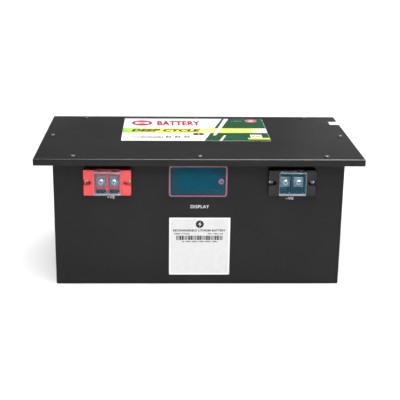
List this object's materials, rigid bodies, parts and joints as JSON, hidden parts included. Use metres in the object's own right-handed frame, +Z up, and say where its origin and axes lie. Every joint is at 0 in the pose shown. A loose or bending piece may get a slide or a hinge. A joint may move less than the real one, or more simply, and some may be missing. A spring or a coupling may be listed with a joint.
{
  "type": "deep cycle battery",
  "caption": "Boxed lithium deep-cycle battery: black steel case with overhanging screwed lid, red and black covered terminal blocks, panel meter with push button, cells and control unit inside.",
  "frame": {"origin": "on the base plane, under the middle of the lid", "axes": "+X along the long side, to the right as seen from the terminal face; +Y from the terminal face to the back; +Z up"},
  "size_m": [0.4982, 0.286, 0.2147],
  "materials": {
    "powder_coat": "satin",
    "black_screw": "satin",
    "plated_steel": "satin",
    "red_plastic": "satin",
    "black_plastic": "satin",
    "clear_cover": "gloss",
    "plated_busbar": "satin",
    "rose_bezel": "gloss",
    "blue_window": "gloss",
    "lcd_module": "gloss",
    "circuit_board": "satin",
    "rose_button": "gloss",
    "label_stock": "satin",
    "foam": "matte",
    "cell_can": "satin",
    "link_aluminium": "satin",
    "zinc_plate": "satin",
    "bms_case": "satin",
    "red_cable": "satin",
    "black_cable": "satin"
  },
  "bodies": {
    "case": {"case_tub": "powder_coat", "positive_housing": "red_plastic", "positive_busbar": "plated_busbar", "positive_mount_screw_1": "plated_steel", "positive_mount_screw_2": "plated_steel", "negative_housing": "black_plastic", "negative_busbar": "plated_busbar", "negative_mount_screw_1": "plated_steel", "negative_mount_screw_2": "plated_steel", "meter_case": "rose_bezel", "meter_window": "blue_window", "meter_lcd": "lcd_module", "meter_circuit_board": "circuit_board", "front_label": "label_stock", "cell_base_pad": "foam", "end_pad_left": "foam", "end_pad_right": "foam", "cell_1": "cell_can", "cell_2": "cell_can", "cell_3": "cell_can", "cell_4": "cell_can", "cell_5": "cell_can", "cell_6": "cell_can", "cell_7": "cell_can", "cell_8": "cell_can", "cell_link_1": "link_aluminium", "cell_link_2": "link_aluminium", "cell_link_3": "link_aluminium", "cell_link_4": "link_aluminium", "cell_link_5": "link_aluminium", "cell_link_6": "link_aluminium", "cell_link_7": "link_aluminium", "bms_bracket": "zinc_plate", "bms": "bms_case", "positive_lead": "red_cable", "negative_lead": "black_cable", "bms_lead": "black_cable", "wiring_harness": "black_cable"},
    "lid": {"lid": "powder_coat", "lid_screw_1": "black_screw", "lid_screw_2": "black_screw", "lid_screw_3": "black_screw", "lid_screw_4": "black_screw", "lid_screw_5": "black_screw", "lid_screw_6": "black_screw", "lid_screw_7": "black_screw", "lid_screw_8": "black_screw", "top_label": "label_stock", "seal_label": "label_stock"},
    "positive_cover": {"positive_cover": "clear_cover"},
    "positive_washer_1": {"positive_washer_1": "plated_steel"},
    "positive_screw_1": {"positive_screw_1": "plated_steel"},
    "positive_washer_2": {"positive_washer_2": "plated_steel"},
    "positive_screw_2": {"positive_screw_2": "plated_steel"},
    "negative_cover": {"negative_cover": "clear_cover"},
    "negative_washer_1": {"negative_washer_1": "plated_steel"},
    "negative_screw_1": {"negative_screw_1": "plated_steel"},
    "negative_washer_2": {"negative_washer_2": "plated_steel"},
    "negative_screw_2": {"negative_screw_2": "plated_steel"},
    "meter_button": {"meter_button": "rose_button"}
  },
  "joints": [
    {"name": "lid_lift", "type": "slide", "parent": "case", "child": "lid", "axis": [0, 0, 1], "range_m": [0, 0.25]},
    {"name": "positive_cover_pull", "type": "slide", "parent": "case", "child": "positive_cover", "axis": [0, -1, 0], "range_m": [0, 0.035]},
    {"name": "positive_washer_1_draw", "type": "slide", "parent": "case", "child": "positive_washer_1", "axis": [0, -1, 0], "range_m": [0, 0.0048]},
    {"name": "positive_screw_1_turn", "type": "hinge", "parent": "positive_washer_1", "child": "positive_screw_1", "pos_m": [-0.1495, -0.124, 0.171], "axis": [0, -1, 0], "range_deg": [0, 2160]},
    {"name": "positive_washer_2_draw", "type": "slide", "parent": "case", "child": "positive_washer_2", "axis": [0, -1, 0], "range_m": [0, 0.0048]},
    {"name": "positive_screw_2_turn", "type": "hinge", "parent": "positive_washer_2", "child": "positive_screw_2", "pos_m": [-0.1295, -0.124, 0.171], "axis": [0, -1, 0], "range_deg": [0, 2160]},
    {"name": "negative_cover_pull", "type": "slide", "parent": "case", "child": "negative_cover", "axis": [0, -1, 0], "range_m": [0, 0.035]},
    {"name": "negative_washer_1_draw", "type": "slide", "parent": "case", "child": "negative_washer_1", "axis": [0, -1, 0], "range_m": [0, 0.0048]},
    {"name": "negative_screw_1_turn", "type": "hinge", "parent": "negative_washer_1", "child": "negative_screw_1", "pos_m": [0.1315, -0.124, 0.171], "axis": [0, -1, 0], "range_deg": [0, 2160]},
    {"name": "negative_washer_2_draw", "type": "slide", "parent": "case", "child": "negative_washer_2", "axis": [0, -1, 0], "range_m": [0, 0.0048]},
    {"name": "negative_screw_2_turn", "type": "hinge", "parent": "negative_washer_2", "child": "negative_screw_2", "pos_m": [0.1515, -0.124, 0.171], "axis": [0, -1, 0], "range_deg": [0, 2160]},
    {"name": "meter_button_press", "type": "slide", "parent": "case", "child": "meter_button", "axis": [0, 1, 0], "range_m": [0, 0.0008], "stiffness_N_per_m": 1500, "springref_m": -0.0005}
  ],
  "couplings": [
    {"joint": "positive_screw_1_turn", "follows": "positive_washer_1_draw", "rad_per_m": 7854},
    {"joint": "positive_screw_2_turn", "follows": "positive_washer_2_draw", "rad_per_m": 7854},
    {"joint": "negative_screw_1_turn", "follows": "negative_washer_1_draw", "rad_per_m": 7854},
    {"joint": "negative_screw_2_turn", "follows": "negative_washer_2_draw", "rad_per_m": 7854}
  ]
}
